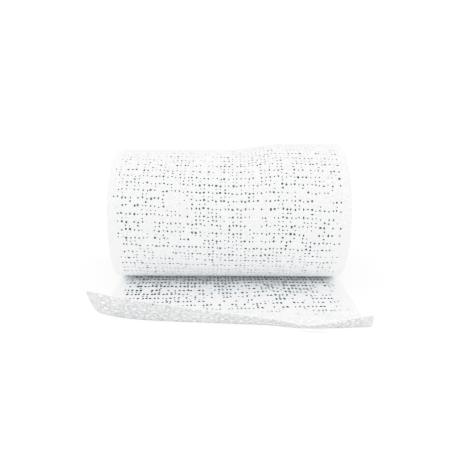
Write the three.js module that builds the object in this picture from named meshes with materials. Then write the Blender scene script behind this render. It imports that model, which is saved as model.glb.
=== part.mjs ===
// A plaster bandage roll: a strip of gauze coated with plaster, wound on itself with no core, with its
// free end drawn out under the roll and curling up at the cut. Millimetres, +Z up. The roll's axis runs
// along X. The origin is on the surface the roll lies on, under the axis, at the middle of the width.
import * as THREE from "three";

// Driving sizes of the strip and of the roll wound from it
const WIDTH = 100; // the strip from selvedge to selvedge, so also the roll's length
const SHEET = 1; // thickness of the loose end, with the plaster on it
const CLEARANCE = 0.4; // between the loose end and the roll
const ROLL_RADIUS = 29.9; // outside the last turn, at the left end
const LOOSER = 0.045; // share by which the right part is wound looser than the left
const LOOSER_SPAN = { start: 0, end: 24 }; // where along the axis it becomes so
const FLAT_HALF = 7; // half the flat spot that the roll's weight presses under it
const SLACK = 1.3; // how far the last turn hangs off the others, low at the front
const SLACK_SPAN = { start: 4.9, fullest: 5.85 }; // where it does so, as angles from straight down
const EYE = { width: 9, height: 7, drop: 0.8, turn: 0.3 }; // the hollow in the middle, sunk by its load

// The loose end leaves the roll at the front of the flat spot. Seen from the front, it is drawn off a
// little to the right of square, and it is wider than in the roll, where it is wound tight.
const SPREAD = 1.02;
const DRIFT = 0.05; // sideways for each millimetre forward
const SKEW = 0.061; // how far a row of the weave turns, once the strip is clear of the roll
const SKEW_RUN = 30; // length over which it does so

// Sections of the loose end across the strip. All lengths run along the strip from under the axis:
// lift is where it leaves the surface, bend the radius it curls up with, and cut where it ends. Lean
// is how far the raised part tips to the right, for each millimetre of height.
const SECTIONS = [
  { across: -50, lift: 36.4, bend: 18, cut: 64, lean: -0.21 },
  { across: -37.5, lift: 42.2, bend: 13.7, cut: 64.4, lean: -0.12 },
  { across: -25, lift: 44.7, bend: 12.7, cut: 64.5, lean: -0.05 },
  { across: -12.5, lift: 46.4, bend: 12.8, cut: 64.6, lean: -0.01 },
  { across: 0, lift: 48.1, bend: 12.9, cut: 64.8, lean: 0 },
  { across: 12.5, lift: 49.7, bend: 13.4, cut: 65.1, lean: 0 },
  { across: 25, lift: 52.8, bend: 12.8, cut: 65.5, lean: -0.01 },
  { across: 37.5, lift: 54.4, bend: 8.8, cut: 66.2, lean: -0.02 },
  { across: 50, lift: 55.4, bend: 6, cut: 66.6, lean: -0.04 },
];

// How finely the curved shapes are divided
const ROLL_ARC_STEPS = 96;
const ROLL_LENGTH_STEPS = 16;
const EYE_ARC_STEPS = 12; // in each half of the eye
const ACROSS_STEPS = 32;
const FLAT_STEPS = 4;
const CURL_STEPS = 16;

const { lerp, smoothstep } = THREE.MathUtils;

const plasteredGauze = (color) => new THREE.MeshStandardMaterial({ color, roughness: 0.95, metalness: 0 });

// Moves each vertex of a geometry to where place(x, y, z) says.
function reshape(geometry, place) {
  const position = geometry.getAttribute("position");
  for (let i = 0; i < position.count; i++)
    position.setXYZ(i, ...place(position.getX(i), position.getY(i), position.getZ(i)));
  geometry.computeVertexNormals();
  return geometry;
}

// The roll's section across its axis, drawn back to the right and up: a flat spot, then one turn that
// winds inwards from the back of it to the front, where a step leaves room for the strip passing under.
function rollSection(axisHeight) {
  const overStrip = SHEET + CLEARANCE;
  const lastRadius = Math.hypot(FLAT_HALF, axisHeight - overStrip);
  const firstAngle = Math.asin(FLAT_HALF / ROLL_RADIUS);
  const lastAngle = 2 * Math.PI - Math.asin(FLAT_HALF / lastRadius);
  const section = new THREE.Shape().moveTo(-FLAT_HALF, 0);
  for (let i = 0; i <= ROLL_ARC_STEPS; i++) {
    const angle = lerp(firstAngle, lastAngle, i / ROLL_ARC_STEPS);
    const swelling = smoothstep(angle, SLACK_SPAN.start, SLACK_SPAN.fullest);
    const closing = 1 - smoothstep(angle, SLACK_SPAN.fullest, lastAngle);
    const radius = lerp(ROLL_RADIUS, lastRadius, i / ROLL_ARC_STEPS) + SLACK * swelling * closing;
    const height = axisHeight - radius * Math.cos(angle);
    section.lineTo(radius * Math.sin(angle), angle > Math.PI ? Math.max(height, overStrip) : height);
  }
  section.closePath();
  const eye = new THREE.Path();
  eye.absellipse(0, axisHeight - EYE.drop, EYE.width / 2, EYE.height / 2, 0, 2 * Math.PI, false, EYE.turn);
  section.holes.push(eye);
  return section;
}

// The wound turns as one body, its section the same all along but larger where it is wound looser.
function woundRoll() {
  const axisHeight = Math.sqrt(ROLL_RADIUS ** 2 - FLAT_HALF ** 2);
  const blank = new THREE.ExtrudeGeometry(rollSection(axisHeight), {
    depth: WIDTH,
    steps: ROLL_LENGTH_STEPS,
    curveSegments: EYE_ARC_STEPS,
    bevelEnabled: false,
  });
  return reshape(blank, (back, up, along) => {
    const x = along - WIDTH / 2;
    const size = 1 + LOOSER * smoothstep(x, LOOSER_SPAN.start, LOOSER_SPAN.end);
    return [x, back * size, up * size];
  });
}

// The sections' values anywhere across the strip, on smooth curves through the table's rows.
const COLUMNS = ["lift", "bend", "cut", "lean"];
const sectionCurves = new THREE.CubicInterpolant(
  SECTIONS.map((row) => row.across),
  SECTIONS.flatMap((row) => COLUMNS.map((column) => row[column])),
  COLUMNS.length,
);

function sectionAt(across) {
  const values = sectionCurves.evaluate(across);
  return Object.fromEntries(COLUMNS.map((column, i) => [column, values[i]]));
}

// A point of the loose end: across the strip, along it as a share of its steps, and above its underside.
function loosePoint(across, step, above) {
  const start = FLAT_HALF * (1 + LOOSER) + CLEARANCE;
  const { lift, bend, cut, lean } = sectionAt(across);
  const flat = Math.min(step / FLAT_STEPS, 1);
  const curl = Math.max(step - FLAT_STEPS, 0) / CURL_STEPS;
  const angle = (curl * (cut - lift)) / bend;
  const forward = lerp(start, lift, flat) + (bend - above) * Math.sin(angle);
  const height = bend - (bend - above) * Math.cos(angle);
  const skew = SKEW * smoothstep(forward, start, start + SKEW_RUN);
  return [across * SPREAD + DRIFT * (forward - start) + lean * height, skew * across - forward, height];
}

// The free end as a sheet: flat on the surface, then curled up, most at the corners.
function looseEnd() {
  const steps = FLAT_STEPS + CURL_STEPS;
  const blank = new THREE.BoxGeometry(WIDTH, steps, SHEET, ACROSS_STEPS, steps, 1);
  return reshape(blank, (x, y, z) => loosePoint(x, steps / 2 - y, z + SHEET / 2));
}

const bandage = new THREE.Group();
for (const [name, geometry, color] of [
  ["wound_roll", woundRoll(), 0xf3f4f4],
  ["loose_end", looseEnd(), 0xf1f2f2],
]) {
  const piece = new THREE.Mesh(geometry, plasteredGauze(color));
  piece.name = name;
  bandage.add(piece);
}

export default bandage;
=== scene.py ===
# %% [markdown]
# # A plaster bandage roll
#
# A plaster bandage is a long strip of open gauze, coated with dry plaster and wound on itself. Here it
# lies on its side. Its free end comes out from under the roll, runs towards the camera and curls up at
# the cut. The strip is modelled as it is made: a flat net with its holes cut, which is then wound.
# The first lines load the measured model, so that each new piece goes where that model says.

# %% Load the measured model
import math

import bmesh
import bpy
import numpy as np
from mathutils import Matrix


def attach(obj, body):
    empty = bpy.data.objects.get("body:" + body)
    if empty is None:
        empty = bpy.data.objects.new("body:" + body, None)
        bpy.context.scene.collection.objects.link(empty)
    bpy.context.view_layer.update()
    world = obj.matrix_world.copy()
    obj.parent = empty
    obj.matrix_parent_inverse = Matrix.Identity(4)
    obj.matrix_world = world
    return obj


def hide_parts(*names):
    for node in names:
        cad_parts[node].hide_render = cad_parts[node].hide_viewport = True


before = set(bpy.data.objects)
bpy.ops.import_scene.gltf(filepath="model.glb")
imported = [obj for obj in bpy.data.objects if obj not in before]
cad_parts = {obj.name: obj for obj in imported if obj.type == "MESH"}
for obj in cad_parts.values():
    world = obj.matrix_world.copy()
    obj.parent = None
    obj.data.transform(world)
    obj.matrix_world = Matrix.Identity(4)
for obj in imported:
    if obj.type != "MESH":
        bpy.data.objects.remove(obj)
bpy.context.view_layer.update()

MM = 0.001

# %% [markdown]
# ## The strip's sizes
#
# All lengths are millimetres until a mesh is finished. The gauze is counted in cells: one cell is one
# hole with half of each thread around it. A position on the strip is a column, counted across from the
# left selvedge, and a row, counted along. Row 0 is where the strip passes under the front of the roll.
# Rows below zero are on the loose end, and rows above zero are wound, from the outside inwards.

# %% Sizes
COLUMNS = 59
WIDTH = 100.0
SHEET = 0.45  # thickness of the gauze with its plaster
ROLL_RADIUS = 29.7  # to the middle of the outermost turn, at the left end
AXIS_HEIGHT = 28.95
EYE_RADIUS = 4.2  # of the hollow in the middle
FLAT_HALF = 7.0  # half the width of the flat spot on which the roll rests
TURN_PITCH = 0.62  # from one turn to the next
TURNS = 41.2
START = 7.7  # where the loose end begins, in front of the axis
ROWS_PER_TURN = 110
LOOSE_ROWS = 34
strip_wound = TURNS * math.pi * (ROLL_RADIUS + EYE_RADIUS) * MM
print("turns:", TURNS, " strip wound in them, in m:", round(strip_wound, 2))

# %% [markdown]
# ## Unevenness that is the same each time
#
# Cloth and plaster are uneven, but a lesson should give the same picture on each run. So nothing here
# is random: a hash turns a pair of whole numbers into a value from 0 to 1, and a ripple blends those
# values into a smooth field.

# %% Hash, ripple and smooth step
def hashed(i, j, seed=0):
    """A value from 0 to 1 that belongs to the whole numbers i and j."""
    i, j = (np.atleast_1d(np.asarray(k, np.int64)) for k in (i, j))
    n = (i * 73856093 ^ j * 19349663 ^ (seed * 83492791)) & 0xFFFFFFFF
    n = ((n ^ (n >> 15)) * 2246822519) & 0xFFFFFFFF
    n = ((n ^ (n >> 13)) * 3266489917) & 0xFFFFFFFF
    n = (n ^ (n >> 16)) / 0xFFFFFFFF
    return n if n.size > 1 else n.item()


def ripple(x, y, seed=0):
    """A smooth field from -1 to 1 with one hill or hollow to each unit of x and y."""
    x, y = np.broadcast_arrays(np.asarray(x, float), np.asarray(y, float))
    i, j = np.floor(x), np.floor(y)
    s, t = x - i, y - j
    s, t = s * s * (3 - 2 * s), t * t * (3 - 2 * t)
    low = hashed(i, j, seed) * (1 - s) + hashed(i + 1, j, seed) * s
    high = hashed(i, j + 1, seed) * (1 - s) + hashed(i + 1, j + 1, seed) * s
    return 2 * (low * (1 - t) + high * t) - 1


def smooth(x, low, high):
    """0 below low and 1 above high, with a soft change between them."""
    t = np.clip((np.asarray(x, float) - low) / (high - low), 0, 1)
    return t * t * (3 - 2 * t)


print("ripple at a few points:", np.round(ripple([0.2, 1.4, 2.7], 0.5), 2))

# %% [markdown]
# ## Which holes are open
#
# Plaster has filled many holes and left others open. Two things show in the photo: every second row is
# much more open than its neighbours, which we call strong rows here, and smooth patches of a few cells
# are closed altogether. Near the selvedges the weave is denser and hardly any hole is open. On the curl,
# open and closed cells take turns. So each cell gets a score, the sum of a base from its row, patches,
# single columns, a grain and a few lower places, and it is open where the score is above zero.

# %% The openness of a cell
def fold_row(column):
    """The row from which the loose end curls up, which comes later on the right."""
    return -22 - 5 * smooth(column, 20, COLUMNS)


def openness(column, row):
    """The score of a cell, which is open above zero."""
    column, row = np.asarray(column), np.asarray(row)
    strong, loose, curled = row % 2 == 0, row < 0, row < fold_row(column)
    flat = loose & ~curled
    weak_base = np.where(loose, -0.34, -0.18)
    base = np.where(strong, 0.44 + 0.24 * ripple(row / 1.7, column / 9.0, 10), weak_base)
    base = np.where(curled, np.where((column + row) % 2 == 0, 0.62, -0.50), base)
    patch = 0.26 * ripple(column / 3.1, row / 3.7, 1) + 0.16 * ripple(column / 9.0, row / 8.0, 2)
    patch = patch * (1 + 0.5 * flat)
    line = 0.16 * ripple(column, row / 5.0, 3) * ~strong * ~loose
    grain = (1.15 + 0.25 * loose) * (hashed(column, row, 4) - 0.5)
    lower = -1.5 * smooth(ripple(column / 2.4, row / 2.6, 12), 0.52, 0.85)
    from_selvedge = np.minimum(column, COLUMNS - 1 - column)
    margin = -1.6 * (1 - smooth(from_selvedge, np.where(flat, 0.6, 0.2), np.where(flat, 2.9, 2.4)))
    near_roll = np.where(loose, 0.22 * smooth(row, -20, -6) - 0.08 + 0.14 * curled, 0)
    return base + patch + line + grain + lower + margin + near_roll


def hole_radius(column, row):
    """In cells, and 0 where the cell is closed."""
    row = np.asarray(row)
    score = openness(column, row)
    size = 0.180 + 0.06 * np.clip(score / 1.1, 0, 1) + 0.11 * hashed(column, row, 5) ** 2
    # larger on the loose end, and less so towards its fold
    size = size + 0.09 * (row < 0) - 0.05 * smooth(-row, 5, 17) * (row >= fold_row(column))
    return np.where(score > 0, size, 0)


def filling(column, row):
    """How far plaster hides the weave: 1 on a smooth patch, 0 where the threads stand out."""
    return 1 - smooth(openness(column, row), -0.9, -0.1)


is_open = hole_radius(*np.meshgrid(np.arange(COLUMNS), np.arange(ROWS_PER_TURN))) > 0
for rows, share in (("strong rows", is_open[0::2].mean()), ("other rows", is_open[1::2].mean())):
    print("share of open cells in the", rows, "of the outer turn:", round(share, 2))

# %% [markdown]
# ## Where the strip lies
#
# Three short functions say where a point of the strip is. The loose end lies flat and then curls up on
# an arc, with other values at other places across it, so they come from a table with a smooth curve
# through its rows. The wound strip follows a spiral that is pressed flat where it rests. The right part
# of the roll is wound looser and so is a little thicker.

# %% The path of the loose end
SPREAD = 1.02  # it is a little wider than in the roll, where it is wound tight
DRIFT = 0.05  # sideways for each millimetre forward
SKEW, SKEW_RUN = 0.061, 30.0  # how far a row turns, and the length over which it does so
WAVE = 0.45
# At even steps from the left selvedge to the right one: how far forward along the strip it lifts off
# the table and where it is cut, the radius of its curl, and how far it leans aside for its height.
SECTIONS = {
    "lift": [36.4, 42.2, 44.7, 46.4, 48.1, 49.7, 52.8, 54.4, 55.4],
    "bend": [18, 13.7, 12.7, 12.8, 12.9, 13.4, 12.8, 8.8, 6.0],
    "cut": [64, 64.4, 64.5, 64.6, 64.8, 65.1, 65.5, 66.2, 66.6],
    "lean": [-0.21, -0.12, -0.05, -0.01, 0, 0, -0.01, -0.02, -0.04],
}


def through(values, share):
    """A smooth curve through evenly spaced values, share going from 0 to 1."""
    values = np.asarray(values, float)
    values = np.concatenate([[2 * values[0] - values[1]], values, [2 * values[-1] - values[-2]]])
    at = np.clip(share, 0, 1) * (len(values) - 3)
    k = np.minimum(at.astype(int), len(values) - 4)
    t = at - k
    a, b, c, d = (values[k + n] for n in range(4))
    return b + 0.5 * t * (c - a + t * (2 * a - 5 * b + 4 * c - d + t * (3 * (b - c) + d - a)))


def loose_end(column, share):
    """Where a point of the loose end is: share is 0 under the roll and 1 at the cut."""
    place = column / COLUMNS
    across = WIDTH * (place - 0.5)
    lift, bend, cut, lean = (through(SECTIONS[k], place) for k in ("lift", "bend", "cut", "lean"))
    run = START + (cut - START) * share
    above = SHEET / 2
    turned = np.maximum(run - lift, 0) / bend
    forward = np.where(run > lift, lift + (bend - above) * np.sin(turned), run)
    height = np.where(run > lift, bend - (bend - above) * np.cos(turned), above)
    waves = WAVE * (1 + ripple(across / 17, run / 13, 11)) * smooth(forward, 8, 20)
    height = height + waves * (1 - smooth(run, lift - 12, lift))
    skew = SKEW * smooth(forward, START, START + SKEW_RUN)
    x = across * SPREAD + DRIFT * (forward - START) + lean * height
    return np.stack([x, skew * across - forward, height], -1)


# %% The path of the wound strip
LOOSER, LOOSER_START, LOOSER_END = 0.045, 0.0, 24.0  # by what share, and where along the axis it grows
SLACK = 0.6  # how far the outermost turn hangs off the others, low at the front
DEEPER = 0.3  # how far the next turns lie below it elsewhere, so that its holes look deep
ROW_SLANT = 0.044
EYE_DROP = 0.8


def wound(column, turn):
    """Where a point of the wound strip is, turn counting from 0 under the roll inwards."""
    across = WIDTH * (column / COLUMNS - 0.5)
    first = math.asin(FLAT_HALF / ROLL_RADIUS)
    angle = 2 * math.pi * turn - first + ROW_SLANT * across / ROLL_RADIUS * smooth(turn, 0, 0.3)
    inside, squeezed = smooth(turn, 1, 1.12), smooth(turn, 2, 36)
    radius = ROLL_RADIUS - TURN_PITCH * turn
    radius = radius + SLACK * smooth(turn, 0.75, 0.9) * (1 - smooth(turn, 0.93, 1.0))
    radius = radius - DEEPER * inside * (1 - smooth(turn, 3, 7))
    # turns don't lie evenly on each other, neither over a few turns nor within one
    uneven = 0.15 * ripple(turn / 1.7, 0.5, 21) + 0.06 * ripple(turn * 5.3, across / 40, 22)
    radius = radius + inside * uneven
    # nearer the middle, the turns follow an eye that the roll's weight has made oval
    radius = radius + squeezed * (0.55 * np.cos(2 * angle - 3.74) + 0.22 * np.sin(3 * angle + 2))
    y = radius * np.sin(angle)
    z = AXIS_HEIGHT - EYE_DROP * squeezed - radius * np.cos(angle)
    rest = SHEET / 2 + (SHEET + 0.03) * turn
    z = np.maximum(z, rest)
    size = 1 + LOOSER * smooth(across, LOOSER_START, LOOSER_END)
    # and their selvedges aren't quite in line at the two ends
    slip = 0.75 * ripple(turn / 2.2, 0.5, 23) + 0.22 * ripple(turn * 7.7, np.sign(across) + 0.5, 24)
    return np.stack([across + inside * slip, y * size, rest + (z - rest) * size], -1)


cut_edge = loose_end(np.array([0, COLUMNS / 2, COLUMNS]), np.ones(3))
print("cut edge at the left, the middle and the right:", np.round(cut_edge, 1).tolist())

# %% [markdown]
# ## Weaving a net
#
# A net is a grid with a hole in some of its cells. The grid primitive makes the cells. The open ones
# are inset one by one, which leaves a small square inside each. Deleting those squares opens the
# holes, and splitting the edges of a hole once makes it round. A closed cell gets a point in its
# middle, so that it can dip between its threads. All of this is done flat, one unit to a cell, because
# it is much easier to pick cells there than on the finished roll.

# %% Weave a flat net
def pick_faces(net, first_row, wanted):
    """Selects the cells, in edit mode, whose hole radius passes the test."""
    mesh = bmesh.from_edit_mesh(net.data)
    middles = np.array([face.calc_center_median()[:2] for face in mesh.faces]).astype(int)
    chosen = wanted(hole_radius(middles[:, 0], middles[:, 1] + first_row))
    for face, choose in zip(mesh.faces, chosen):
        face.select = bool(choose)
    bmesh.update_edit_mesh(net.data)
    return int(chosen.sum())


def weave(name, rows, first_row):
    """A flat net of so many rows, whose open cells have a small eight-sided hole."""
    bpy.ops.object.select_all(action="DESELECT")
    bpy.ops.mesh.primitive_grid_add(x_subdivisions=COLUMNS, y_subdivisions=rows, size=1)
    net = bpy.context.object
    net.name = net.data.name = name
    for vertex in net.data.vertices:
        vertex.co.x = round((vertex.co.x + 0.5) * COLUMNS)
        vertex.co.y = round((vertex.co.y + 0.5) * rows)
    bpy.ops.object.mode_set(mode="EDIT")
    bpy.ops.mesh.select_mode(type="FACE")
    bpy.ops.mesh.select_all(action="DESELECT")
    open_cells = pick_faces(net, first_row, lambda radius: radius > 0)
    bpy.ops.mesh.inset(thickness=0.3, use_individual=True, use_even_offset=True)
    bpy.ops.mesh.delete(type="FACE")
    bpy.ops.mesh.select_mode(type="EDGE")
    mesh = bmesh.from_edit_mesh(net.data)
    for edge in mesh.edges:
        edge.select = all(0.05 < v.co.x % 1 < 0.95 and 0.05 < v.co.y % 1 < 0.95 for v in edge.verts)
    bmesh.update_edit_mesh(net.data)
    bpy.ops.mesh.subdivide(number_cuts=1, ngon=True)
    bpy.ops.mesh.select_mode(type="FACE")
    bpy.ops.mesh.select_all(action="DESELECT")
    pick_faces(net, first_row, lambda radius: radius == 0)
    bpy.ops.mesh.poke()
    bpy.ops.object.mode_set(mode="OBJECT")
    print(name, "has", open_cells, "open cells of", COLUMNS * rows)
    return net


def points(net):
    """The places of all vertices, a row for each."""
    flat = np.empty(len(net.data.vertices) * 3, np.float32)
    net.data.vertices.foreach_get("co", flat)
    return flat.reshape(-1, 3).astype(float)


LARGEST_HOLE = 0.43  # half its width, in cells


def crowded(row, rows, shift):
    """Rows as they lie on the strip, where the open ones take more room than their neighbours."""
    return row - shift * np.cos(math.pi * row) * smooth(row, 0, 2) * smooth(rows - row, 0, 2)


def round_holes(net, first_row):
    """The flat net's points, with each hole's edge on an oval a little off its cell's middle."""
    at = points(net)[:, :2]
    cell = np.floor(at + 1e-4)
    part = at - cell
    middle = (np.abs(part - 0.5) < 0.02).all(1)
    rim = ((part > 0.05) & (part < 0.95)).all(1) & ~middle
    i, j = cell[rim].astype(int).T
    radius = hole_radius(i, j + first_row)
    off = part[rim] - 0.5
    off /= np.linalg.norm(off, axis=1)[:, None]
    nudge = 0.32 * np.stack([hashed(i, j, 6) - 0.5, hashed(i, j, 7) - 0.5], -1)
    oval = 0.8 + 0.4 * np.stack([hashed(i, j, 8), hashed(i, j, 9)], -1)
    loose, curled = j + first_row < 0, j + first_row < fold_row(i)
    # long holes on the flat loose end, and wide ones on the curl
    oval *= np.stack([1 + 0.75 * curled, np.where(loose, 1.45 - 0.75 * curled, 1.0)], -1)
    oval = np.minimum(oval, LARGEST_HOLE / radius[:, None])
    at[rim] = cell[rim] + 0.5 + nudge + off * radius[:, None] * oval
    return at, rim, middle


# %% [markdown]
# ## From net to gauze
#
# The flat net is now moved to its place, point by point, and given its thickness by a Solidify
# modifier. Threads are round and plaster clings to their crossings, so the sheet thins towards each
# hole and in the middle of each closed cell: a vertex group tells Solidify how much. The position on
# the strip, and how far plaster fills the weave, are kept as an attribute for the finish to read.

# %% Finish a net as gauze
THINNEST = 0.3  # the thickness around a hole, as a share of the sheet's


def gauze(net, first_row, place):
    """Takes a flat net to where place says, with its thickness and its attribute."""
    at, rim, middle = round_holes(net, first_row)
    cell = np.floor(at + 1e-4).astype(int)
    filled = filling(np.clip(cell[:, 0], 0, COLUMNS - 1), cell[:, 1] + first_row)
    strip = net.data.attributes.new("strip", "FLOAT_VECTOR", "POINT")
    kept = np.stack([at[:, 0], at[:, 1] + first_row, filled * ~rim], -1)
    strip.data.foreach_set("vector", kept.astype(np.float32).ravel())
    # at the selvedges, every second crosswise thread turns back a little further out
    selvedge = (at[:, 0] < 0.01) | (at[:, 0] > COLUMNS - 0.01)
    bulge = 0.12 * ((at[:, 1] + first_row) % 2) + 0.08 * hashed(at[:, 1], 0, 13)
    scallop = np.sign(at[:, 0] - 1) * selvedge * bulge
    put = place(at[:, 0] + scallop, at[:, 1]) * MM
    net.data.vertices.foreach_set("co", put.astype(np.float32).ravel())
    thick = net.vertex_groups.new(name="thick")
    # thin around holes, and thinner in the middle of a closed cell that no plaster fills
    weight = np.where(rim, 0.0, np.where(middle, 0.25 + 0.75 * filled, 1.0))
    for tenth in range(11):
        thick.add(np.flatnonzero(np.round(weight * 10) == tenth).tolist(), tenth / 10, "REPLACE")
    wall = net.modifiers.new("wall", "SOLIDIFY")
    wall.thickness = SHEET * MM
    wall.offset = 0
    wall.vertex_group = "thick"
    wall.thickness_vertex_group = THINNEST
    wall.material_offset = len(net.data.materials) - 1  # a second finish goes to the under face
    bpy.ops.object.select_all(action="DESELECT")
    net.select_set(True)
    bpy.context.view_layer.objects.active = net
    bpy.ops.object.modifier_apply(modifier="wall")
    bpy.ops.object.shade_smooth_by_angle(angle=math.radians(60))
    net.data.calc_loop_triangles()
    print(net.name, "is gauze with", len(net.data.loop_triangles), "triangles")


# %% [markdown]
# ## Writing a finish in plain sums
#
# The finish is worked out from numbers that change over the surface, such as how near a thread is. To
# keep that readable, Number wraps a socket and lets Python's own signs add the Math nodes. Every other
# node comes from Finish.add, which takes the node's kind, its settings, and a value or a Number for
# each socket. The sky around the model is a node tree too, so Finish can also write that one.

# %% Number and Finish
class Number:
    """What a socket gives at each point of the surface, to be used in sums."""

    def __init__(self, finish, socket):
        self.finish, self.socket = finish, socket

    def math(self, operation, *others):
        return self.finish.add("Math", {"operation": operation}, dict(enumerate([self, *others])))

    def __add__(self, other):
        return self.math("ADD", other)

    def __mul__(self, other):
        return self.math("MULTIPLY", other)

    def __sub__(self, other):
        return self.math("SUBTRACT", other)

    def __rsub__(self, other):
        return self * -1 + other

    __radd__, __rmul__ = __add__, __mul__

    def larger(self, other):
        return self.math("MAXIMUM", other)

    def smaller(self, other):
        return self.math("MINIMUM", other)

    def step(self, low, high):
        """0 below low and 1 above high, with a soft change between them."""
        sockets = {"Value": self, "From Min": low, "From Max": high}
        return self.finish.add("MapRange", {"interpolation_type": "SMOOTHSTEP"}, sockets)


class Finish:
    """The node tree of its owner, a material or a world."""

    def __init__(self, owner, shader="Principled BSDF"):
        self.owner = owner
        owner.use_nodes = True
        self.tree = owner.node_tree
        self.shader = self.tree.nodes[shader]

    def join(self, value, socket):
        """Gives a socket a Number or a plain value."""
        if isinstance(value, Number):
            self.tree.links.new(value.socket, socket)
        else:
            socket.default_value = value

    def add(self, kind, settings, sockets, output=0):
        """Adds a node and returns one of its outputs."""
        node = self.tree.nodes.new("ShaderNode" + kind)
        for name, value in settings.items():
            setattr(node, name, value)
        for name, value in sockets.items():
            self.join(value, node.inputs[name])
        return Number(self, node.outputs[output])

    def noise(self, place, stretch, detail=1.0):
        """Unevenness around 0, about -1 to 1, with stretch hills to each unit along each axis."""
        moved = self.add("VectorMath", {"operation": "MULTIPLY"}, {0: place, 1: stretch})
        grain = self.add("TexNoise", {}, {"Vector": moved, "Scale": 1.0, "Detail": detail})
        return grain * 3 - 1.5

    def blend(self, share, first, second):
        """A colour between two, share 0 giving the first."""
        return self.add("Mix", {"data_type": "RGBA"}, {0: share, 6: first, 7: second}, 2)


def grey(level, blue=0.0):
    """The colour of that level, with a little more blue."""
    return (level, level, level + blue, 1)


# %% [markdown]
# ## Plastered gauze
#
# Dry plaster is a matte, chalky white, a little cool. Threads stand up as rounded ridges at the whole numbers
# of the strip's columns and rows, where nothing fills them. Yarn is uneven along its length, and plaster has
# a speckle and a fine grain and is mottled where it went on thicker. Beside the selvedges the lengthwise
# threads lie close together and show as streaks. All of these make the height of a Bump, and the same numbers
# vary the colour and roughness. Between the threads the colour is also darker, as painted shade in the
# hollows of the weave. The rows beside the line where the roll meets the loose end, and the roll's lower
# front, are painted a little lighter, as painted light against the shade that falls there.

# %% The plastered gauze finish
INNER_ROWS = 60  # to a turn, as the finish of the inner turns counts them


def plastered(name, plaster, hollow, shaded=None, foot=0.0, painted_shade_between_threads=0.16):
    """The finish between two colours. shaded is the painted shade of what shows through the outer turn, foot
    how much lighter the rows near the roll's foot are painted, as painted light, and the last argument how
    much darker the gaps between the threads are painted, as painted shade.
    """
    finish = Finish(bpy.data.materials.new(name))
    strip = finish.add("Attribute", {"attribute_name": "strip"}, {}, "Vector")
    column, row, filled = (finish.add("SeparateXYZ", {}, {"Vector": strip}, k) for k in range(3))
    at = finish.add("TexCoord", {}, {}, "Object")

    lengthwise = 1 - column.math("PINGPONG", 0.5).step(0.04, 0.27)
    crosswise = 1 - row.math("PINGPONG", 0.5).step(0.04, 0.25)
    threads = lengthwise.larger(crosswise * 0.85)
    yarn = finish.noise(strip, (7.0, 1.3, 0), 2.0) * lengthwise
    yarn = yarn + finish.noise(strip, (1.3, 7.0, 0), 2.0) * crosswise
    near_selvedge = 1 - column.smaller(COLUMNS - column).step(1.8, 4.2)
    streaks = finish.noise(strip, (5.5, 0.22, 0)) * near_selvedge
    grain = finish.noise(at, (2600, 2600, 2600), 2.0)
    speckle = finish.noise(at, (1300, 1300, 1300), 1.0)
    mottle = finish.noise(at, (150, 150, 150), 3.0)
    bare = 1 - filled * 0.8

    # in mm, as the Bump's Distance says
    height = threads * bare * 0.14 + yarn * bare * 0.05 + streaks * 0.07
    height = height + speckle * 0.05 + grain * 0.014 + mottle * 0.05
    bump = finish.add("Bump", {}, {"Height": height, "Distance": MM, "Strength": 0.8}, "Normal")
    finish.join(bump, finish.shader.inputs["Normal"])

    # greyer goes from 0, the plaster's colour, to 1, the hollow's: a darker grey, used as painted shade
    # between the threads and as the plaster's own speckle, grain and mottle
    # painted light: rows near where the roll rests, in front of it and behind it, and the roll's lower front
    # are painted lighter, against the shade that falls there
    painted_light_near_foot = row.step(-13, -3) * (1 - row.step(15, 30)) + row.step(86, 98)
    greyer = (1 - threads) * bare * painted_shade_between_threads - yarn * 0.10 - streaks * 0.15
    greyer = greyer - speckle * 0.85 - grain * 0.10 - mottle * 0.15
    greyer = 0.24 + greyer - near_selvedge * 0.06 - painted_light_near_foot * foot
    colour = finish.blend(greyer.smaller(1.0).larger(0.0), plaster, hollow)
    if shaded:
        # painted shade: the outermost inner turn, away from its edges, takes the shaded colour, for the deep
        # shade and the holes seen through the outer turn
        inset = column.smaller(COLUMNS - column).step(0.9, 1.8)
        outermost = 1 - row.step(2 * INNER_ROWS, 3 * INNER_ROWS)
        colour = finish.blend(inset * outermost, colour, shaded)
    finish.join(colour, finish.shader.inputs["Base Color"])
    finish.join(0.88 - filled * 0.08 + grain * 0.04 + mottle * 0.03, finish.shader.inputs["Roughness"])
    return finish.owner


upper_side = plastered("plastered_gauze", grey(0.97, 0.005), grey(0.64, 0.005), foot=0.24)
rolled_side = plastered("plastered_gauze_rolled", grey(0.98), grey(0.63), foot=0.24)
painted_shade_under_colours = (0.69, 0.67, 0.665, 1), (0.40, 0.385, 0.38, 1)
# painted shade: the under face, which the curl turns to the front, is painted greyer than the upper face
painted_shade_under_side = plastered("plastered_gauze_under_painted_shade", *painted_shade_under_colours, painted_shade_between_threads=0.30)
inner_colours = grey(0.91, 0.005), grey(0.66, 0.005)
inner_side = plastered("plastered_gauze_inner", *inner_colours, shaded=(0.25, 0.26, 0.265, 1))
print("finishes:", [material.name for material in bpy.data.materials])

# %% [markdown]
# ## The loose end and the outermost turn
#
# On the real bandage these two are one piece of gauze. They are two nets here, because only the loose end
# lies free. Both have real holes, as both are seen from near. The loose end gets two finishes: its under
# face, which the curl turns to the front, is painted greyer, as painted shade. The open rows take a little
# more room than the others, so the rows are moved apart before they are placed.

# %% Make the loose end
LOOSE_SHIFT, WOUND_SHIFT = 0.10, 0.04  # how far the rows are moved apart, in rows
loose = weave("loose_gauze", LOOSE_ROWS, -LOOSE_ROWS)
loose.data.materials.append(upper_side)
loose.data.materials.append(painted_shade_under_side)


def place_loose(column, row):
    return loose_end(column, 1 - crowded(row, LOOSE_ROWS, LOOSE_SHIFT) / LOOSE_ROWS)


gauze(loose, -LOOSE_ROWS, place_loose)

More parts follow.
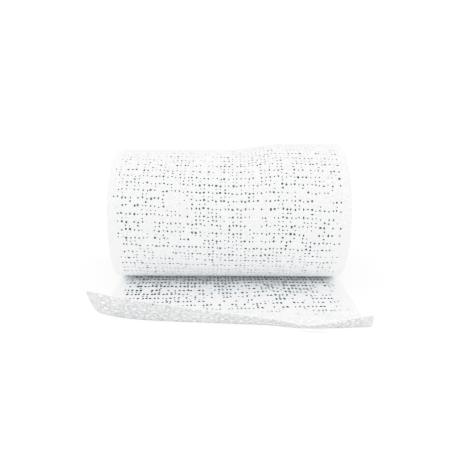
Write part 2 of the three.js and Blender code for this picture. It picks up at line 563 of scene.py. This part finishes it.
# %% Make the outermost turn
outer = weave("outer_turn", ROWS_PER_TURN, 0)
outer.data.materials.append(rolled_side)


def place_outer(column, row):
    return wound(column, crowded(row, ROWS_PER_TURN, WOUND_SHIFT) / ROWS_PER_TURN)


gauze(outer, 0, place_outer)

# %% [markdown]
# ## Thread ends
#
# Where the strip was cut, each lengthwise thread ends in a short stub of its own length, and one thread
# has come out and lies along the foot of the curl. A thread is one six-sided cylinder, drawn out in
# steps so that it can bend. It is modelled once, and each copy is bent along its own short path.

# %% Model one thread
THREAD_STEPS = 4
step_length = 1 / THREAD_STEPS
bpy.ops.object.select_all(action="DESELECT")
bpy.ops.mesh.primitive_cylinder_add(vertices=6, radius=1, depth=step_length, location=(0, 0, step_length / 2))
thread = bpy.context.object
bpy.ops.object.transform_apply(location=True)
bpy.ops.object.mode_set(mode="EDIT")
for step in range(THREAD_STEPS - 1):
    mesh = bmesh.from_edit_mesh(thread.data)
    top = max(face.calc_center_median().z for face in mesh.faces)
    for face in mesh.faces:
        face.select = face.calc_center_median().z > top - 0.01
    bmesh.update_edit_mesh(thread.data)
    bpy.ops.mesh.extrude_region_move(TRANSFORM_OT_translate={"value": (0, 0, step_length)})
bpy.ops.mesh.select_all(action="DESELECT")
bpy.ops.object.mode_set(mode="OBJECT")
print("a thread has", len(thread.data.polygons), "faces")


# %% Lay the threads
THREAD_RADIUS, PULLED_RADIUS = 0.17, 0.16
ROOT = 0.3  # the length of a thread's end that stays inside the gauze
PULLED_THREAD = [(27.5, -56.9, 0.5), (31.5, -57.9, 0.3), (35.5, -57.6, 0.22), (38.6, -58.6, 0.22)]


def lay_thread(path, radius, spot):
    """A copy of the thread along a path, a function from 0..1 to points in mm.

    Its spot is the place on the strip from which its finish is taken.
    """
    copy = thread.copy()
    copy.data = thread.data.copy()
    bpy.context.collection.objects.link(copy)
    at = points(copy)
    along = path(at[:, 2])
    ahead = path(at[:, 2] + 0.01) - path(at[:, 2] - 0.01)
    ahead /= np.linalg.norm(ahead, axis=1)[:, None]
    side = np.cross(ahead, [0.3, 0.2, 1.0])
    side /= np.linalg.norm(side, axis=1)[:, None]
    taper = radius * (1 - 0.5 * at[:, 2] ** 2)[:, None]
    put = along + taper * (at[:, :1] * side + at[:, 1:2] * np.cross(ahead, side))
    copy.data.vertices.foreach_set("co", (put * MM).astype(np.float32).ravel())
    strip = copy.data.attributes.new("strip", "FLOAT_VECTOR", "POINT")
    strip.data.foreach_set("vector", np.tile(np.array(spot, np.float32), len(at)))
    copy.data.materials.append(upper_side)
    return copy


def stub(column):
    """The path of a cut thread end, which goes on from the gauze and turns a little aside."""
    start, before = loose_end(np.full(2, float(column)), np.array([1.0, 0.97]))
    ahead = (start - before) / np.linalg.norm(start - before)
    length = 0.35 + 1.1 * hashed(column, 1, 31) ** 2
    aside = np.array([hashed(column, k, 32) - 0.5 for k in range(3)]) * length
    start = start - ROOT * ahead
    return lambda t: start + np.outer(t, ahead) * (length + ROOT) + np.outer(t ** 2, aside)


def pulled_thread(t):
    """The path of the thread that has come out, which lies on the surface in front of the curl."""
    return np.stack([through(values, t) for values in np.transpose(PULLED_THREAD)], -1)


threads = []
for column in range(COLUMNS + 1):
    threads.append(lay_thread(stub(column), THREAD_RADIUS, (column, -LOOSE_ROWS, 0)))
threads.append(lay_thread(pulled_thread, PULLED_RADIUS, (46, -26, 0)))
bpy.data.objects.remove(thread)
bpy.ops.object.select_all(action="DESELECT")
for piece in threads:
    piece.select_set(True)
loose.select_set(True)
bpy.context.view_layer.objects.active = loose
bpy.ops.object.join()
print("thread ends laid:", len(threads))

# %% [markdown]
# ## The turns inside
#
# Of the inner turns only the edges show, at the two ends of the roll, so they need no holes. One long
# strip is wound from the outer turn to the hollow in the middle. Through the holes of the outer turn, the
# next one shows in deep shade, with holes of its own. A darker grey on that turn stands for both.

# %% Wind the inner turns
INNER_COLUMNS, INNER_STEPS = 6, 3600
INNER_SHEET = 0.36  # a little thinner, so that the turns stay apart
bpy.ops.object.select_all(action="DESELECT")
bpy.ops.mesh.primitive_grid_add(x_subdivisions=INNER_COLUMNS, y_subdivisions=INNER_STEPS, size=1)
inner = bpy.context.object
inner.name = inner.data.name = "inner_turns"
flat = points(inner)
column = (flat[:, 0] + 0.5) * COLUMNS
share = flat[:, 1] + 0.5
small = EYE_RADIUS / ROLL_RADIUS
# steps of even length: the share of the strip grows with the square of the radius
turn = 1 + (TURNS - 1) * (1 - np.sqrt(1 - share * (1 - small ** 2))) / (1 - small)
strip = inner.data.attributes.new("strip", "FLOAT_VECTOR", "POINT")
kept = np.stack([column, turn * INNER_ROWS, 0 * turn], -1)
strip.data.foreach_set("vector", kept.astype(np.float32).ravel())
put = wound(column, turn) * MM
inner.data.vertices.foreach_set("co", put.astype(np.float32).ravel())
inner.data.materials.append(inner_side)
wall = inner.modifiers.new("wall", "SOLIDIFY")
wall.thickness = INNER_SHEET * MM
wall.offset = 0
bpy.ops.object.modifier_apply(modifier="wall")
bpy.ops.object.shade_smooth_by_angle(angle=math.radians(60))
print("the inner turns have", len(inner.data.polygons), "faces")

# %% [markdown]
# ## The table
#
# The roll lies on a white surface that looks evenly white, and the holes of the loose end look dark. A plain
# floor gives neither, so this one is a material for the stage only: painted near black where the loose end
# covers it, as painted shade seen through its holes, and with a little light of its own in front, which only
# the camera sees.

# %% Make the table
bpy.ops.mesh.primitive_plane_add(size=6)
floor = bpy.context.object
floor.name = "floor"
table = Finish(bpy.data.materials.new("white_table"))
table.join(0.9, table.shader.inputs["Roughness"])
place = table.add("TexCoord", {}, {}, "Object")
x, y = (table.add("SeparateXYZ", {}, {"Vector": place}, k) for k in range(2))
forward = y * -1
# in metres: the flat part of the loose end covers 45 mm to each side and some 43 mm forward
beside = x.math("ABSOLUTE").step(0.044, 0.047)
# painted shade: the table under the flat part of the loose end is painted near black
painted_shade_under_loose_end = (1 - beside) * (1 - forward.step(0.036, 0.050)) * forward.step(0.002, 0.005)
table.join(table.blend(painted_shade_under_loose_end, grey(0.95), grey(0.05)), table.shader.inputs["Base Color"])
seen = table.add("LightPath", {}, {}, "Is Camera Ray")
in_front = forward.step(0.030, 0.045) * (1 - forward.step(0.08, 0.12))
lit = (1 - painted_shade_under_loose_end) * (in_front * 0.7 + 0.15) * seen
table.join(table.blend(lit, grey(0), grey(1)), table.shader.inputs["Emission Color"])
table.join(1.0, table.shader.inputs["Emission Strength"])
floor.data.materials.append(table.owner)

# %% [markdown]
# ## Soft light
#
# White cloth on white needs a light that is soft and still has a direction. The sky is bright overhead
# and falls off to the horizon, which leaves the foot of the roll and the curl a little grey. Two
# large, low softboxes lift the sides. To the camera itself the sky is plain white.

# %% Make the sky and the softboxes
OVERHEAD, BACKDROP = 1.85, 1.5  # how bright the sky is above the roll, and as the camera sees it
sky = Finish(bpy.data.worlds.new("studio"), "Background")
upward = sky.add("SeparateXYZ", {}, {"Vector": sky.add("TexCoord", {}, {}, "Generated")}, "Z")
overhead = sky.add("MapRange", {}, {"Value": upward, "To Max": OVERHEAD})
behind = sky.add("LightPath", {}, {}, "Is Camera Ray") * BACKDROP
sky.join(overhead.larger(behind), sky.shader.inputs["Strength"])
sky.join(grey(1), sky.shader.inputs["Color"])
bpy.context.scene.world = sky.owner


def softbox(name, azimuth, elevation, strength, size=1.1, distance=1.5):
    """A round soft light that faces the roll; strength 1 is full white on a facing wall."""
    a, e = math.radians(azimuth), math.radians(elevation)
    place = distance * np.array([math.cos(a) * math.cos(e), math.sin(a) * math.cos(e), math.sin(e)])
    bpy.ops.object.light_add(type="AREA", location=place)
    lamp = bpy.context.object
    lamp.name = name
    lamp.data.shape = "DISK"
    lamp.data.size = size
    lamp.data.energy = strength * (math.pi * distance) ** 2
    lamp.rotation_euler = lamp.location.to_track_quat("Z", "Y").to_euler()


softbox("right_light", -40, 6, 0.17)
softbox("left_light", -140, 6, 0.17)

# %% [markdown]
# ## Tones and camera
#
# Film and cameras keep detail in white cloth by bending the brightest tones over softly, and shadows on
# white look slightly blue. A curve over the picture does both: the first points are for all three
# colours, and the others for red and for blue. The camera stands where it was fitted to the photo.

# %% Set the tones and the camera
WHITE = 1.26  # the brightness that is shown as full white
TONES = [(0.2, 0.305), (0.4, 0.56), (0.63, 0.787), (0.82, 0.890), (1.0, 0.928), (1.13, 0.97)]
RED = [(0.235, 0.220), (0.43, 0.404), (0.75, 0.748)]
BLUE = [(0.235, 0.242), (0.43, 0.440), (0.75, 0.754)]
view = bpy.context.scene.view_settings
view.view_transform = "Standard"
view.use_curve_mapping = True
tones = view.curve_mapping
tones.white_level = (WHITE, WHITE, WHITE)
for bright, shown in TONES:
    tones.curves[3].points.new(bright / WHITE, shown)
for tint, levels in ((0, RED), (2, BLUE)):
    for level, shown in levels:
        tones.curves[tint].points.new(level, shown)
tones.update()

LOOKS_DOWN = math.radians(19.17)
FOCAL_LENGTH = 460.2 / 450  # in picture widths
bpy.ops.object.camera_add(location=(-0.0016, -0.2081, 0.0952), rotation=(math.pi / 2 - LOOKS_DOWN, 0, 0))
camera = bpy.context.object
camera.data.sensor_width = 36
camera.data.lens = 36 * FOCAL_LENGTH
camera.data.clip_start = 0.01
bpy.context.scene.camera = camera

# %% [markdown]
# ## Attaching the pieces
#
# Each new piece is told which body it rides on, and the measured solids that the pieces replace are hidden.

# %% Attach the pieces
for piece in (loose, outer, inner):
    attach(piece, "root")
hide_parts("loose_end")
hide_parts("wound_roll")
